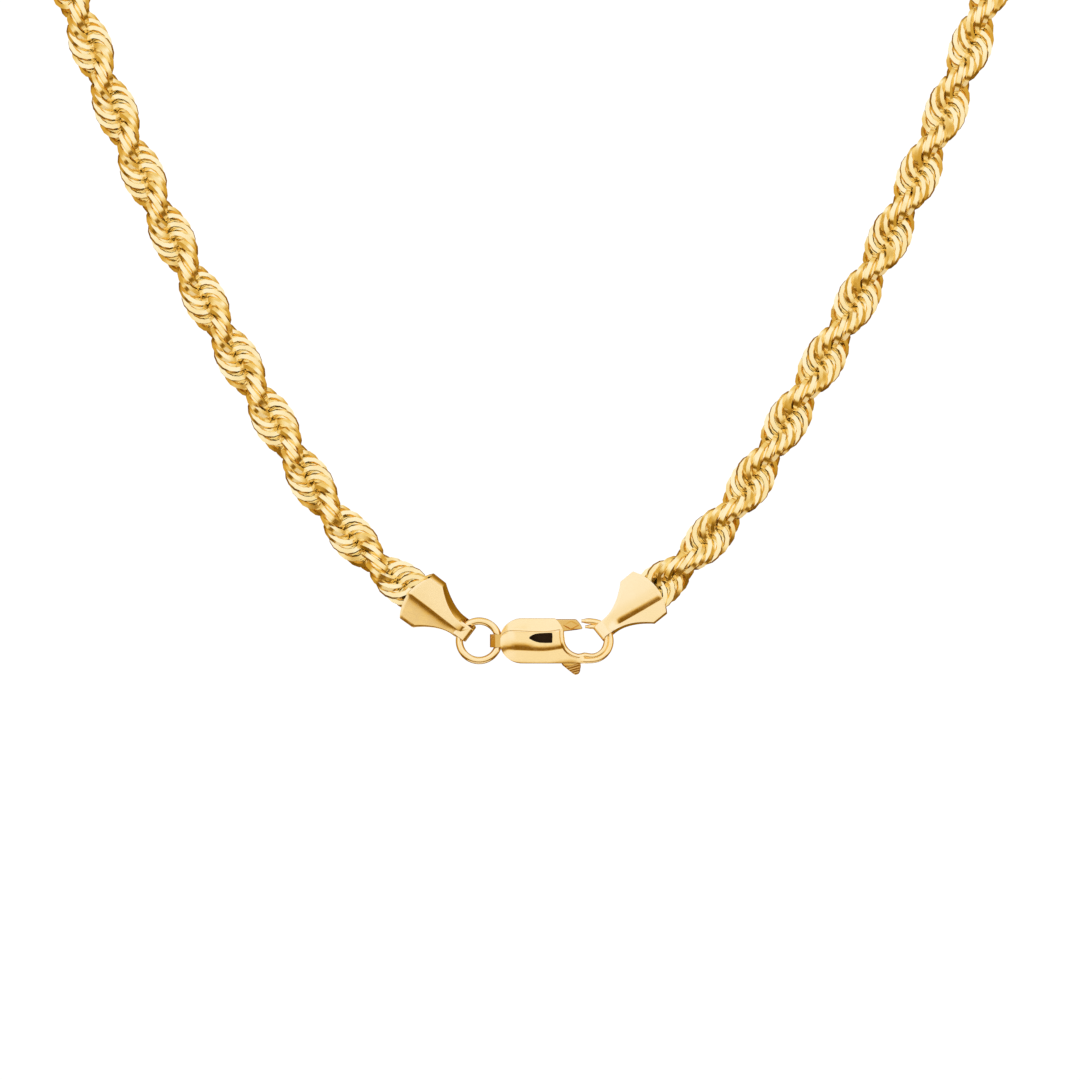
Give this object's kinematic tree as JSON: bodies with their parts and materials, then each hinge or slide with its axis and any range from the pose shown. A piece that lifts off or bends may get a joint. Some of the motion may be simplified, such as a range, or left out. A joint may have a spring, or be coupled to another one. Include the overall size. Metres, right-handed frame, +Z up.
{
  "type": "rope chain necklace",
  "caption": "Gold rope chain necklace, a whole loop hanging as worn, with fan-shaped end caps, a jump ring and a lobster clasp at the front.",
  "frame": {"origin": "at the nape, on the front side of the chain, where it bears on the back of the neck", "axes": "+Z up as worn; the clasp and the visible front lie towards -Y and hang lowest; +X is to the right of a viewer who faces the clasp"},
  "size_m": [0.1302, 0.108, 0.1333],
  "materials": {
    "rope_gold": "polished yellow gold, faint drawing marks on the wire",
    "cap_gold": "polished yellow gold sheet with soft brushing",
    "ring_gold": "polished yellow gold wire",
    "clasp_gold": "polished yellow gold casting"
  },
  "bodies": {
    "necklace": {"rope_chain": "rope_gold", "end_cap_left": "cap_gold", "end_cap_right": "cap_gold", "jump_ring": "ring_gold", "clasp_body": "clasp_gold"},
    "trigger": {"clasp_trigger": "clasp_gold"}
  },
  "joints": [
    {"name": "trigger_hinge", "type": "hinge", "parent": "necklace", "child": "trigger", "pos_m": [0.003, -0.1005, -0.1268], "axis": [0, 1, 0], "range_deg": [0, 25], "stiffness_Nm_per_rad": 0.005, "springref_deg": -11.46}
  ]
}
